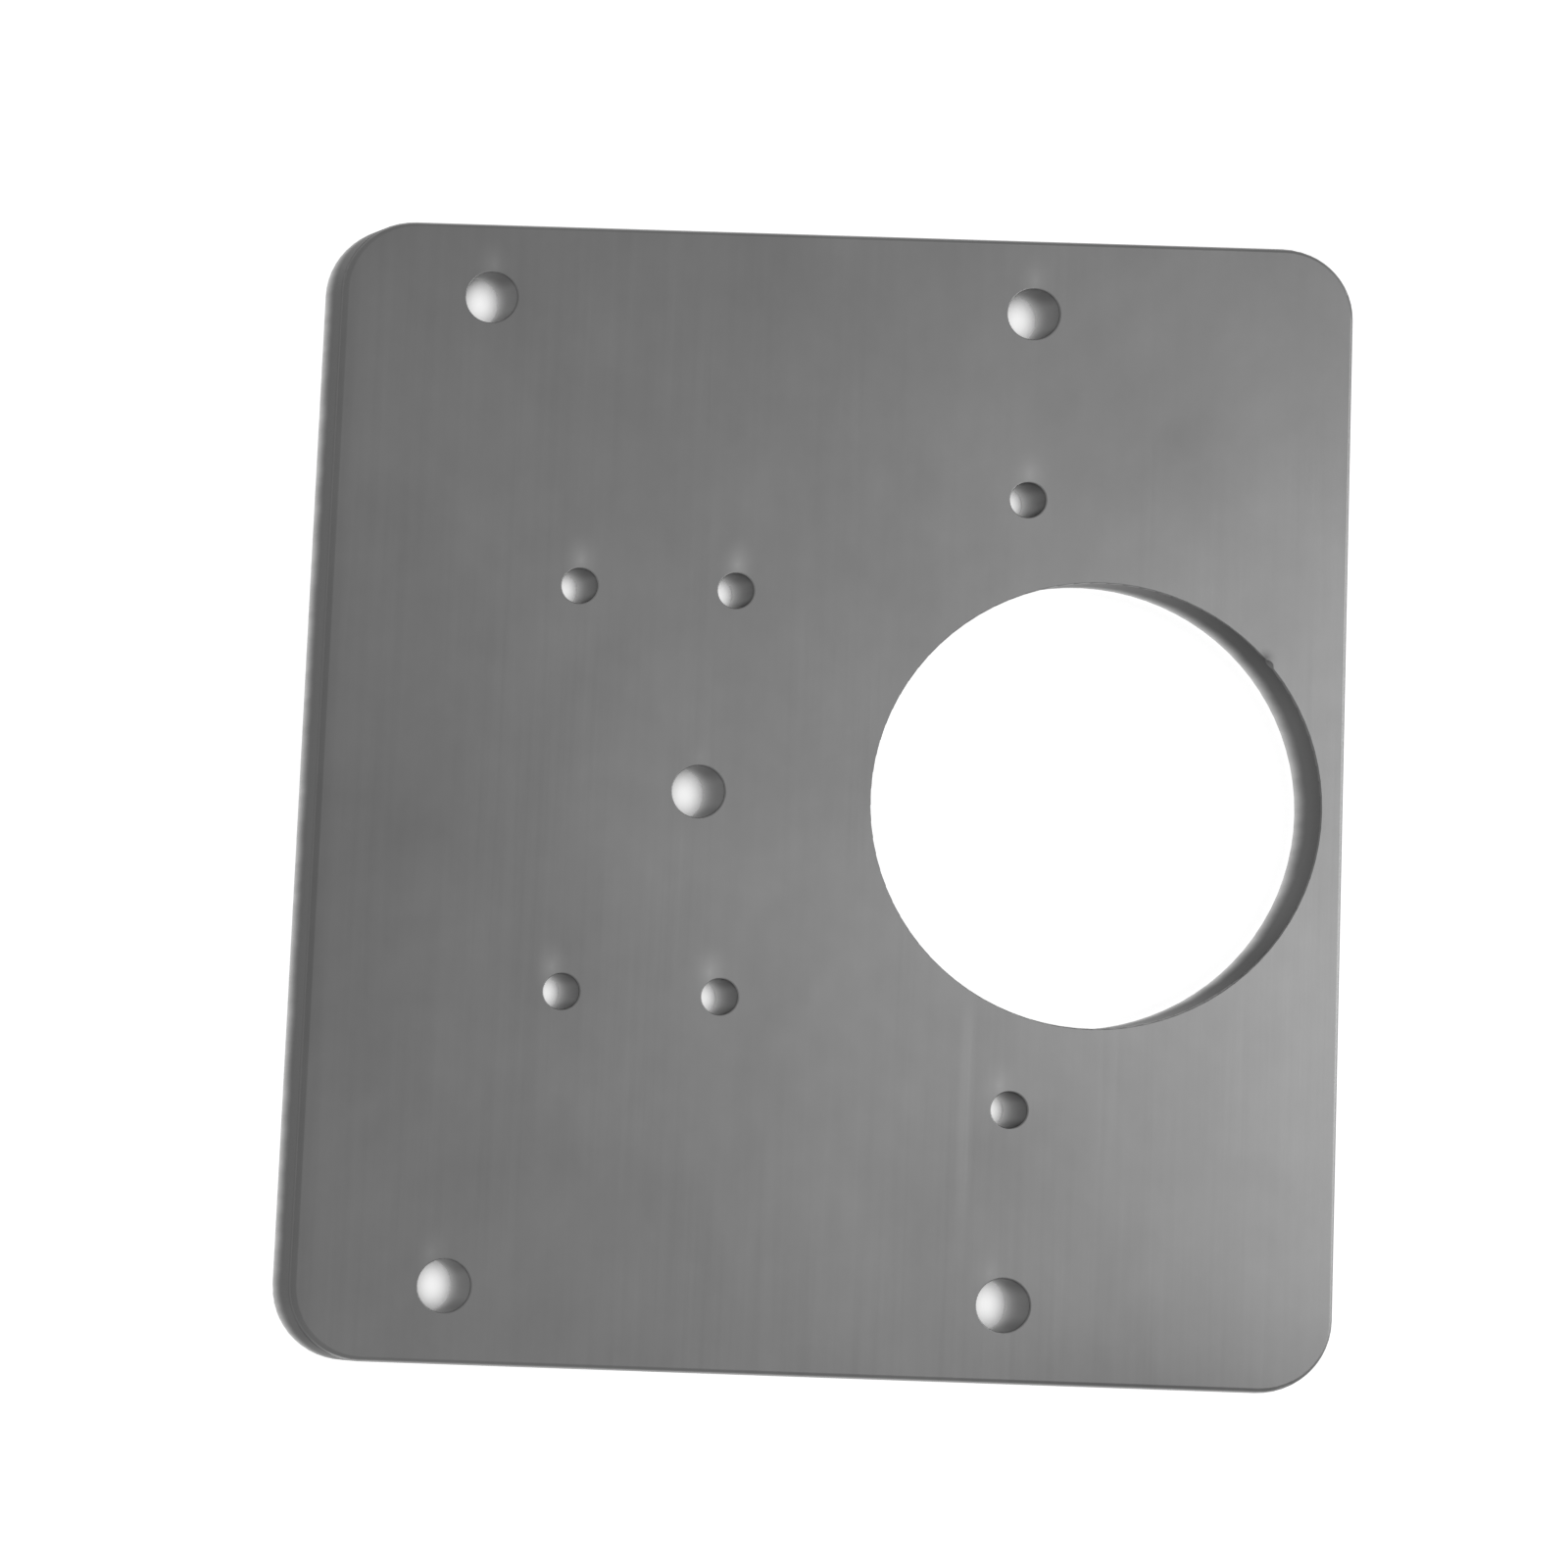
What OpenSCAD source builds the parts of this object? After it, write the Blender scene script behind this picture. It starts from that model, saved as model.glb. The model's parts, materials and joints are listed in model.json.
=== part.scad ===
// Hinge repair plate: one flat steel plate that carries a concealed hinge over torn-out screw holes
// The sheet lies flat, front face up, centred over the origin, with the hinge edge towards +X

/* [Sheet] */
// Width of the plate, across the hinge edge
plate_w = 80.2; // [70:0.1:110]
// Height of the plate, along the hinge edge
plate_h = 90; // [84:1:120]
// Thickness of the sheet
sheet_t = 2.5; // [1.5:0.1:3]
// Radius of the four corners
corner_r = 5.7; // [3:0.1:8]

/* [Cup hole] */
// Diameter of the hole for the hinge cup
cup_d = 35; // [26:0.5:36]
// Web left between the cup hole and the hinge edge
cup_web = 1.9; // [1:0.1:4]
// Distance between the two cup screw holes
cup_screw_pitch = 48; // [46:0.5:56]
// Distance from the cup's centre line back to the cup screw holes
cup_screw_setback = 6; // [5:0.5:9.5]

/* [Mounting plate holes] */
// Diameter of the cup screw and mounting plate holes
screw_d = 2.8; // [2.3:0.1:4]
// Distance between the two rows of mounting plate holes
base_pitch_y = 32; // [28:0.5:36]
// Distance between the two columns of mounting plate holes
base_pitch_x = 12.3; // [11:0.1:14]
// Distance from the cup's centre back to the nearer column
base_reach = 28.7; // [27:0.1:32]

/* [Fixing holes] */
// Diameter of the corner holes and the middle hole
fixing_d = 4.1; // [3.4:0.1:5]
// Distance from the corner holes to the top or bottom edge
corner_hole_edge = 6; // [5:0.25:9]
// Distance between the left and right corner holes
corner_hole_pitch = 43; // [38:0.5:47]
// Distance from the cup's centre back to the middle hole
middle_reach = 31; // [28:0.5:36]

/* [Edges] */
// Rounding of the outline at the front face
front_edge_r = 0.4; // [0.1:0.05:0.6]
// Rounding of the outline at the back face
back_edge_r = 0.2; // [0.1:0.05:0.4]
// Rounding of each hole's mouth at the front face
mouth_r = 0.1; // [0.05:0.05:0.4]
// Chamfer of each hole at the back face
back_break = 0.15; // [0.05:0.05:0.3]

/* [Wear] */
// Width of the small nick in the cup hole's front rim
nick_w = 0.9; // [0.4:0.1:1.2]
// Depth of the nick at the rim
nick_depth = 0.1; // [0.06:0.02:0.2]
// How far the nick reaches back from the rim
nick_reach = 0.2; // [0.1:0.05:0.6]
// Direction of the nick from the cup's centre, counted from the hinge edge
nick_angle = 41; // [20:1:70]

/* [Hidden] */
$fn = 96;
// How far a cut runs past the surface that it leaves
cut_past = 1;
cup_x = plate_w / 2 - cup_web - cup_d / 2;
screw_line_x = cup_x - cup_screw_setback;
corner_hole_y = plate_h / 2 - corner_hole_edge;
cup_screw_holes = [for (s = [-1, 1]) [screw_line_x, s * cup_screw_pitch / 2]];
base_holes = [
  for (reach = [base_reach, base_reach + base_pitch_x], s = [-1, 1])
    [cup_x - reach, s * base_pitch_y / 2]
];
corner_holes = [
  for (x = [screw_line_x, screw_line_x - corner_hole_pitch], s = [-1, 1])
    [x, s * corner_hole_y]
];
middle_hole = [cup_x - middle_reach, 0];

// What lies outside a rounded edge, for a corner at the origin with the sheet below and left of it
module edge_waste(r) {
  translate([-r, -r])
    difference() {
      square(2 * r);
      circle(r);
    }
}

// Section of the sheet's rim, from an inner line at x = 0 out to the rounded edge
module rim_section(reach) {
  difference() {
    square([reach, sheet_t]);
    translate([reach, sheet_t])
      edge_waste(front_edge_r);
    translate([reach, 0])
      mirror([0, 1])
        edge_waste(back_edge_r);
  }
}

// A slab as long as the straight run of two opposite edges, rounded along both of them
module slab(across, run) {
  for (turn = [0, 180])
    rotate(turn)
      translate([0, run / 2, 0])
        rotate([90, 0, 0])
          linear_extrude(run)
            rim_section(across / 2);
}

// One quarter round corner, swept with the same rim section
module corner(sx, sy) {
  translate([sx * (plate_w / 2 - corner_r), sy * (plate_h / 2 - corner_r), 0])
    rotate(atan2(sy, sx) - 45)
      rotate_extrude(angle = 90)
        rim_section(corner_r);
}

module sheet() {
  slab(plate_w, plate_h - 2 * corner_r);
  rotate(90)
    slab(plate_h, plate_w - 2 * corner_r);
  for (sx = [-1, 1], sy = [-1, 1])
    corner(sx, sy);
}

// Half section of a hole: straight bore, rounded mouth at the front and chamfer at the back
module hole_section(r) {
  mouth = r + mouth_r;
  translate([0, -cut_past])
    square([r, sheet_t + 2 * cut_past]);
  translate([0, sheet_t - mouth_r])
    difference() {
      square([mouth, mouth_r + cut_past]);
      translate([mouth, 0])
        circle(mouth_r);
    }
  polygon([
    [0, back_break],
    [r, back_break],
    [r + back_break + cut_past, -cut_past],
    [0, -cut_past]
  ]);
}

module hole(place, d) {
  translate([place[0], place[1], 0])
    rotate_extrude()
      hole_section(d / 2);
}

// Round-bottomed dent that slopes into the cup hole, and out of the face a little way behind its rim
module nick() {
  r = (nick_w * nick_w / 4 + nick_depth * nick_depth) / (2 * nick_depth);
  reach = mouth_r + nick_reach;
  translate([cup_x, 0, sheet_t])
    rotate(nick_angle)
      translate([cup_d / 2 + reach, 0, 0])
        rotate([0, 90 - atan2(nick_depth, nick_reach), 0])
          translate([-r, 0, 0])
            cylinder(h = 2 * (reach + cut_past), r = r, center = true);
}

module plate() {
  color("gray")
    difference() {
      sheet();
      hole([cup_x, 0], cup_d);
      nick();
      hole(middle_hole, fixing_d);
      for (place = corner_holes)
        hole(place, fixing_d);
      for (place = concat(cup_screw_holes, base_holes))
        hole(place, screw_d);
    }
}

plate();
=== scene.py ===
import json
from math import cos, radians, sin
import bpy
from mathutils import Matrix, Vector


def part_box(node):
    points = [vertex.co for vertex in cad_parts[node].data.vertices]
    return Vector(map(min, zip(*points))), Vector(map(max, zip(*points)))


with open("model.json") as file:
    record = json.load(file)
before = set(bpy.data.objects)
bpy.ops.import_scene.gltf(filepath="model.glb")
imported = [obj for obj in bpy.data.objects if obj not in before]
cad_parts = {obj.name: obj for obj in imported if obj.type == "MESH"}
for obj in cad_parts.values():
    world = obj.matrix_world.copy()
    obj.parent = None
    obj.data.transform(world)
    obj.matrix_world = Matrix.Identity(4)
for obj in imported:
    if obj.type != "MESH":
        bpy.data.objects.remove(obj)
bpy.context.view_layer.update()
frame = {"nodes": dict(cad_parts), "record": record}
mm = 0.001

scene = bpy.context.scene
scene.view_settings.view_transform = "Standard"


def grey(level):
    return (level, level, level, 1)


def newMaterial(name):
    material = bpy.data.materials.new(name)
    material.use_nodes = True
    material.node_tree.nodes.clear()
    return material, material.node_tree


def addNode(tree, kind, inputs=(), **settings):
    # inputs pairs a socket's name or number with a value, or with the output that feeds it
    node = tree.nodes.new(kind)
    for name, value in settings.items():
        setattr(node, name, value)
    for name, value in inputs:
        if isinstance(value, bpy.types.NodeSocket):
            tree.links.new(value, node.inputs[name])
        else:
            node.inputs[name].default_value = value
    return node


def maths(tree, operation, a, b=0.0, c=0.0):
    return addNode(tree, "ShaderNodeMath", [(0, a), (1, b), (2, c)], operation=operation).outputs[0]


def band(tree, value, low, high, toLow=0.0, toHigh=1.0):
    # smooth step of value from low to high
    ends = [("From Min", low), ("From Max", high), ("To Min", toLow), ("To Max", toHigh)]
    step = addNode(tree, "ShaderNodeMapRange", [("Value", value)] + ends, interpolation_type="SMOOTHSTEP")
    return step.outputs["Result"]


def mixNumber(tree, factor, first, second):
    mixed = addNode(tree, "ShaderNodeMix", [(0, factor), (2, first), (3, second)], data_type="FLOAT")
    return mixed.outputs[0]


def cloud(tree, place, stretch, size, detail=3.0, roughness=0.6):
    # noise round 0, about -1 to 1; size is one blotch in metres, stretch draws it out along x, y and z
    scale = [1 / (size * share) for share in stretch]
    scaled = addNode(tree, "ShaderNodeMapping", [("Vector", place), ("Scale", scale)]).outputs[0]
    noise = addNode(tree, "ShaderNodeTexNoise",
                    [("Vector", scaled), ("Scale", 1.0), ("Detail", detail), ("Roughness", roughness)])
    return maths(tree, "MULTIPLY_ADD", noise.outputs["Fac"], 2.0, -1.0)


def patch(tree, place, x, y, halfX, halfY):
    # soft round patch: 1 in the middle, 0 at its rim
    moved = addNode(tree, "ShaderNodeMapping",
                    [("Vector", place), ("Location", (-x / halfX, -y / halfY, 0)),
                     ("Scale", (1 / halfX, 1 / halfY, 0))]).outputs[0]
    return addNode(tree, "ShaderNodeTexGradient", [("Vector", moved)],
                   gradient_type="QUADRATIC_SPHERE").outputs["Fac"]


# what tells the small holes from the rest: a patch over each, and where its edge is cut off
holeMask = {
    "reach": 2.0,               # in hole radii
    "cut": (0.05, 0.2),
}


def holePlaces(record):
    # every small hole as (mount, x, y, radius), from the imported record
    places = []
    for mount in record["mounts"]:
        name, dims = mount["name"], mount["dims"]
        x, y = mount["pos_m"][:2]
        if name == "middle_hole":
            places.append((name, x, y, dims["r_mm"] * mm))
        elif mount["kind"] == "bolt_pattern":
            halfX = dims.get("spacing_x_mm", 0) * mm / 2
            halfY = dims["spacing_y_mm"] * mm / 2
            for sideX in sorted({-halfX, halfX}):       # one column where the holes stand in line
                for sideY in (-halfY, halfY):
                    places.append((name, x + sideX, y + sideY, dims["hole_r_mm"] * mm))
    return places


def inHoles(tree, place, holes):
    # 1 in and close round the small holes, 0 elsewhere
    patches = 0.0
    for mount, x, y, radius in holes:
        reach = holeMask["reach"] * radius
        patches = maths(tree, "ADD", patch(tree, place, x, y, reach, reach), patches)
    return band(tree, patches, *holeMask["cut"])


# rolled steel sheet: cloudy face with a faint upright grain, punched walls that go from a rough lip to a
# smooth band, painted bright at the back and dark at the front
steelSheet = {
    "face": 0.222,
    "faceRoughness": 0.33,
    "clouds": [(28 * mm, 0.085), (7 * mm, 0.075), (1.8 * mm, 0.04)],    # patch size, how far it lightens
    "cloudStretch": (1, 1.3, 1),

    "grain": 0.055,
    "grainWidth": 0.8 * mm,
    "grainLength": 45.0,        # times as long as wide, along the plate's height
    # its strength grows towards the lower right corner: how far right plus down, and how strong
    "grainSpan": (5 * mm, 60 * mm),
    "grainGrowth": (0.35, 1.5),
    "grainGloss": 0.04,         # how far it changes the roughness
    "grainBump": 0.06,
    "grainHeight": 0.02 * mm,

    # where a face turns into a wall, by how upright it is: 1 lies flat, 0 stands
    "wallBegins": (0.75, 0.2),
    "backFade": 4.0,            # how soon the back face's tone ends on its rounded edge
    "straightReach": 0.9,       # how much further the tone reaches over straight edges across the grain
    "frontBegins": (0.8, 0.9),  # in thicknesses, where the marks of the front fade in

    "wallRoughness": 0.42,
    "wallAtFront": 0.084,       # smooth band that the punch leaves under the front face, painted dark as shade
    "wallAtMiddle": 0.108,
    "smoothBegins": 0.5,        # in thicknesses
    "wallAtBack": 0.70,         # rough lip where the sheet tore off, painted bright as a reflection of the white table
    "lipMirrorTo": 1.35 * mm,        # height over the back face at which the lip and its painted reflection end
    "lipMirrorFall": 1.9,            # how fast it darkens towards that height
    "lipMirrorWander": 0.2 * mm,
    "wanderSize": 1.6 * mm,
    "wanderStretch": (1, 1, 3),
    "leftWall": 0.107,          # the band of painted shade on the outer left edge, where it is even
    "topWallShade": 0.82,            # painted shade: share of that band's tone that is left where it faces the upper edge
    "topTurn": (0.45, 0.75),
    "awayWall": 0.60,           # share of a smooth wall's tone that is left where it turns from the window
    "awayTurn": (0.35, 0.85),
    "boreAtFront": 0.195,       # walls of the small holes, which the table lights from below
    "boreAtBack": 0.68,
    "boreFall": 4.3,            # how fast that light falls off towards the front

    "rimHighlightLift": 0.45,            # painted highlight on the rounding of straight edges across the grain
    "rimTurn": (0.3, 0.9),
    "edgeShade": 0.10,          # darkening of the face along its left edge
    "edgeWidth": 2.1 * mm,
    "scratchX": 11.3 * mm,
    "scratchWidth": 1.6 * mm,
    "scratchCore": 0.1 * mm,    # half width of its brightest part
    "scratchSpan": (-37 * mm, -15 * mm),
    "scratchFade": (9 * mm, 3 * mm),    # at its lower and upper end
    "scratchLift": 0.10,
    # painted highlights on the face over the holes: how far each kind of hole's highlight lightens
    "highlightLift": {"corner_holes": 0.24, "cup_screws": 0.26, "hinge_base_holes": 0.46, "middle_hole": 0.11},
    "highlightSize": (1.7 * mm, 2.6 * mm),
    "highlightGap": 0.65 * mm,        # from a hole's rim to the middle of the painted highlight over it
    "lowerSwing": 25,           # degrees by which the lower holes' patches lean to the left
    "lowerShare": 0.85,         # and how bright they are beside the upper ones
    # soft darker and lighter patches on the face as (x, y, half width, half height, how far they lighten)
    "tonePatches": [
        (26 * mm, -47 * mm, 34 * mm, 12 * mm, -0.30),
        (39 * mm, -2 * mm, 6 * mm, 18 * mm, -0.035),
        (-34 * mm, -5 * mm, 23 * mm, 34 * mm, -0.155),
        (-10 * mm, -5 * mm, 18 * mm, 14 * mm, 0.09),
        (26 * mm, 29 * mm, 16 * mm, 13 * mm, -0.15),
        (15 * mm, -27 * mm, 24 * mm, 20 * mm, -0.11),
        (-18 * mm, -30 * mm, 13 * mm, 9 * mm, -0.09),
        (6 * mm, 16 * mm, 9 * mm, 24 * mm, -0.06),
        (33.6 * mm, 12.0 * mm, 1.0 * mm, 1.0 * mm, -0.55),      # painted shade beside the nick
    ],
}


def readSheet(tree, spec, leftSide, thickness):
    # where a point lies on the sheet and which way it faces
    place = addNode(tree, "ShaderNodeTexCoord").outputs["Object"]
    normal = addNode(tree, "ShaderNodeNewGeometry").outputs["Normal"]
    x, y, z = addNode(tree, "ShaderNodeSeparateXYZ", [(0, place)]).outputs
    toRight, toTop, toFront = addNode(tree, "ShaderNodeSeparateXYZ", [(0, normal)]).outputs
    # 1 on the front and the back face, 0 on walls and on the chamfers behind the holes
    fade = spec["backFade"]
    upright = maths(tree, "MAXIMUM", toFront, maths(tree, "MULTIPLY_ADD", toFront, -fade, 1 - fade))
    # how much it faces the upper or lower edge; straight falls to 0 as it turns to the left or right
    across = maths(tree, "ABSOLUTE", toTop)
    straight = maths(tree, "SUBTRACT", across, maths(tree, "ABSOLUTE", toRight))
    straight = maths(tree, "MAXIMUM", straight, 0.0)
    reach = maths(tree, "MULTIPLY_ADD", straight, spec["straightReach"], 1.0)
    onWall = band(tree, maths(tree, "MULTIPLY", reach, upright), *spec["wallBegins"])
    leftEdge = band(tree, x, leftSide + spec["edgeWidth"], leftSide)
    return {"place": place, "x": x, "y": y, "z": z, "thickness": thickness, "toTop": toTop,
            "across": across, "straight": straight, "onWall": onWall, "leftEdge": leftEdge}


def scratchMark(tree, spec, at):
    aside = maths(tree, "ABSOLUTE", maths(tree, "SUBTRACT", at["x"], spec["scratchX"]))
    width = band(tree, aside, spec["scratchWidth"] / 2, spec["scratchCore"])
    low, high = spec["scratchSpan"]
    fadeLow, fadeHigh = spec["scratchFade"]
    length = maths(tree, "MULTIPLY", band(tree, at["y"], low, low + fadeLow),
                   band(tree, at["y"], high, high - fadeHigh))
    return maths(tree, "MULTIPLY", width, length)


def frontMarksAndLight(tree, spec, at, holes):
    # a long scratch beside the cup hole, painted highlights over the holes and on straight edge roundings,
    # soft darker and lighter patches, painted shade beside the nick and along the left edge
    marksAndLight = maths(tree, "MULTIPLY", scratchMark(tree, spec, at), spec["scratchLift"])
    for mount, x, y, radius in holes:
        lower = y < 0
        swing = radians(spec["lowerSwing"] if lower else 0)
        lift = spec["highlightLift"][mount] * (spec["lowerShare"] if lower else 1.0)
        reach = radius + spec["highlightGap"]
        # painted highlight over each hole
        highlightPatch = patch(tree, at["place"], x - reach * sin(swing), y + reach * cos(swing), *spec["highlightSize"])
        marksAndLight = maths(tree, "MULTIPLY_ADD", highlightPatch, lift, marksAndLight)
    # soft darker and lighter patches on the face, and painted shade beside the nick
    for x, y, halfX, halfY, lift in spec["tonePatches"]:
        tonePatch = patch(tree, at["place"], x, y, halfX, halfY)
        marksAndLight = maths(tree, "MULTIPLY_ADD", tonePatch, lift, marksAndLight)
    # painted highlight on the roundings of straight edges
    rimHighlight = band(tree, at["straight"], *spec["rimTurn"])
    marksAndLight = maths(tree, "MULTIPLY_ADD", rimHighlight, spec["rimHighlightLift"], marksAndLight)
    return maths(tree, "MULTIPLY_ADD", at["leftEdge"], -spec["edgeShade"], marksAndLight)


def faceTone(tree, spec, at, holes, grain):
    tone = 1.0
    for size, lift in spec["clouds"]:
        blotches = cloud(tree, at["place"], spec["cloudStretch"], size, detail=2.0)
        tone = maths(tree, "MULTIPLY_ADD", blotches, lift, tone)
    growth = band(tree, maths(tree, "SUBTRACT", at["x"], at["y"]), *spec["grainSpan"], *spec["grainGrowth"])
    tone = maths(tree, "MULTIPLY_ADD", maths(tree, "MULTIPLY", grain, growth), spec["grain"], tone)
    onFront = band(tree, at["z"], *[share * at["thickness"] for share in spec["frontBegins"]])
    tone = maths(tree, "MULTIPLY_ADD", frontMarksAndLight(tree, spec, at, holes), onFront, tone)
    return maths(tree, "MULTIPLY", tone, spec["face"])


def wallTone(tree, spec, at, holes):
    # rough lip at the back painted bright as a reflection of the table, smooth band towards the front painted
    # dark as shade
    thickness = at["thickness"]
    wander = cloud(tree, at["place"], spec["wanderStretch"], spec["wanderSize"], roughness=0.5)
    # painted reflection of the white table on the lip at the back of each wall
    height = maths(tree, "MULTIPLY_ADD", wander, spec["lipMirrorWander"], at["z"])
    mirroredLip = addNode(tree, "ShaderNodeMapRange",
                   [("Value", height), ("From Min", spec["lipMirrorTo"]), ("From Max", 0.0)]).outputs[0]
    mirroredLip = maths(tree, "POWER", mirroredLip, spec["lipMirrorFall"])
    sheared = band(tree, at["z"], spec["smoothBegins"] * thickness, thickness,
                   spec["wallAtMiddle"], spec["wallAtFront"])
    # painted shade on walls that face the upper edge
    topShade = band(tree, at["toTop"], *spec["topTurn"], 1.0, spec["topWallShade"])
    sheared = maths(tree, "MULTIPLY", sheared, topShade)
    sheared = mixNumber(tree, at["leftEdge"], sheared, spec["leftWall"])
    # walls of the small holes, lit from the back
    inBore = inHoles(tree, at["place"], holes)
    depth = maths(tree, "MULTIPLY_ADD", at["z"], -1 / thickness, 1.0)
    lit = maths(tree, "POWER", depth, spec["boreFall"])
    away = band(tree, at["across"], *spec["awayTurn"], 1.0, spec["awayWall"])
    smooth = maths(tree, "MULTIPLY", mixNumber(tree, inBore, sheared, spec["boreAtFront"]), away)
    rough = mixNumber(tree, inBore, spec["wallAtBack"], spec["boreAtBack"])
    return mixNumber(tree, mixNumber(tree, inBore, mirroredLip, lit), smooth, rough)


def makeSteel(spec, holes, leftSide, thickness):
    material, tree = newMaterial("rolled steel sheet")
    at = readSheet(tree, spec, leftSide, thickness)
    grain = cloud(tree, at["place"], (1, spec["grainLength"], 1), spec["grainWidth"])
    face = faceTone(tree, spec, at, holes, grain)
    level = mixNumber(tree, at["onWall"], face, wallTone(tree, spec, at, holes))
    colour = addNode(tree, "ShaderNodeCombineColor", [(0, level), (1, level), (2, level)]).outputs[0]
    faceRoughness = maths(tree, "MULTIPLY_ADD", grain, spec["grainGloss"], spec["faceRoughness"])
    roughness = mixNumber(tree, at["onWall"], faceRoughness, spec["wallRoughness"])
    bump = addNode(tree, "ShaderNodeBump",
                   [("Height", grain), ("Strength", spec["grainBump"]), ("Distance", spec["grainHeight"])])
    surface = addNode(tree, "ShaderNodeBsdfPrincipled",
                      [("Base Color", colour), ("Metallic", 1.0), ("Roughness", roughness),
                       ("Normal", bump.outputs[0])])
    addNode(tree, "ShaderNodeOutputMaterial", [("Surface", surface.outputs[0])])
    return material


plate = frame["nodes"]["plate"]
holes = holePlaces(frame["record"])
lowCorner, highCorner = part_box("plate")
steel = makeSteel(steelSheet, holes, lowCorner[0], highCorner[2] - lowCorner[2])
for materialSlot in plate.material_slots:
    materialSlot.material = steel
# the patches over the holes are painted highlights
print("plate: steel sheet with rubbed patches over", len(holes), "holes")

# white table: the plate's shadow stays on it, and the open table still shows as white
table = {
    "side": 6.0,
    "colour": 0.8,
    "glow": 0.68,
    # light on the table under each small hole, in hole radii: its middle, and half width and height
    "spotX": 0.34,
    "spotSize": (1.24, 1.6),
    "spotFall": 2.5,            # how fast it falls off
    "mirrorShade": 0.6,         # share of that falling off which the steel mirrors
}


def whitePaper(spec, holes):
    material, tree = newMaterial("white table")
    place = addNode(tree, "ShaderNodeTexCoord").outputs["Object"]
    wide, high = spec["spotSize"]
    spots = 0.0
    for mount, x, y, radius in holes:
        spot = patch(tree, place, x + spec["spotX"] * radius, y, wide * radius, high * radius)
        spots = maths(tree, "ADD", spot, spots)
    off = maths(tree, "SUBTRACT", 1.0, maths(tree, "SQRT", spots))
    shade = maths(tree, "MULTIPLY", maths(tree, "MULTIPLY", off, off), spec["spotFall"])
    shade = maths(tree, "MULTIPLY", maths(tree, "MINIMUM", shade, 1.0), inHoles(tree, place, holes))
    # the glow shows to the camera and in mirroring surfaces only
    rays = addNode(tree, "ShaderNodeLightPath").outputs
    seen = maths(tree, "MULTIPLY", rays["Is Camera Ray"], maths(tree, "SUBTRACT", 1.0, shade))
    mirrors = maths(tree, "ADD", rays["Is Glossy Ray"], rays["Is Transmission Ray"])
    mirrored = maths(tree, "MULTIPLY", mirrors, maths(tree, "MULTIPLY_ADD", shade, -spec["mirrorShade"], 1.0))
    glowing = maths(tree, "MULTIPLY", maths(tree, "ADD", seen, mirrored), spec["glow"])
    glow = addNode(tree, "ShaderNodeEmission", [("Color", grey(1)), ("Strength", glowing)])
    paper = addNode(tree, "ShaderNodeBsdfDiffuse", [("Color", grey(spec["colour"]))])
    both = addNode(tree, "ShaderNodeAddShader", [(0, paper.outputs[0]), (1, glow.outputs[0])])
    addNode(tree, "ShaderNodeOutputMaterial", [("Surface", both.outputs[0])])
    return material


def makeTable(spec, holes):
    half = spec["side"] / 2
    corners = [(-half, -half, 0), (half, -half, 0), (half, half, 0), (-half, half, 0)]
    mesh = bpy.data.meshes.new("table")
    mesh.from_pydata(corners, [], [(0, 1, 2, 3)])
    mesh.materials.append(whitePaper(spec, holes))
    ground = bpy.data.objects.new("table", mesh)
    scene.collection.objects.link(ground)


makeTable(table, holes)

# soft light: an even room, and one wide window to the right that the cup end of the plate catches
light = {
    "room": 0.579,
    "window": 2.117,            # watts
    "windowSide": (0.315, 0.613),
    "windowPlace": Vector((1.0, 0.084, 0.633)),
    "windowAim": Vector((0.0, 0.0, 0.0)),
}


def makeLight(spec):
    world = bpy.data.worlds.new("room")
    scene.world = world
    world.use_nodes = True
    room = world.node_tree.nodes["Background"]
    room.inputs["Color"].default_value = grey(1)
    room.inputs["Strength"].default_value = spec["room"]
    windowData = bpy.data.lights.new("window", "AREA")
    windowData.shape = "RECTANGLE"
    windowData.size, windowData.size_y = spec["windowSide"]
    windowData.energy = spec["window"]
    window = bpy.data.objects.new("window", windowData)
    scene.collection.objects.link(window)
    window.location = spec["windowPlace"]
    window.visible_camera = False
    window.rotation_euler = (spec["windowAim"] - spec["windowPlace"]).to_track_quat("-Z", "Y").to_euler()


makeLight(light)
print("table, room and window set")

# The photograph was straightened and stretched after it was taken, so its sideways and upright
# directions aren't quite square to the line of sight. The camera hangs on a leaning rig for that.
photoCamera = {
    "lens": 104.08,
    "right": (0.9993, 0.0345, -0.0108),
    "up": (-0.1232, 0.9858, 0.1143),
    "back": (-0.5934, -0.1012, 0.7986),
    "eye": (-0.21539, -0.0353, 0.28743),
}


def makeCamera(spec):
    cameraData = bpy.data.cameras.new("camera")
    cameraData.lens = spec["lens"]
    camera = bpy.data.objects.new("camera", cameraData)
    scene.collection.objects.link(camera)
    rig = bpy.data.objects.new("camera rig", None)
    scene.collection.objects.link(rig)
    leaning = [Vector(spec[axis]).normalized() for axis in ("right", "up", "back")]
    lean = Matrix(leaning).transposed().to_4x4()
    lean.translation = spec["eye"]
    camera.parent = rig
    camera.matrix_parent_inverse = lean
    scene.camera = camera


makeCamera(photoCamera)
print("camera set")
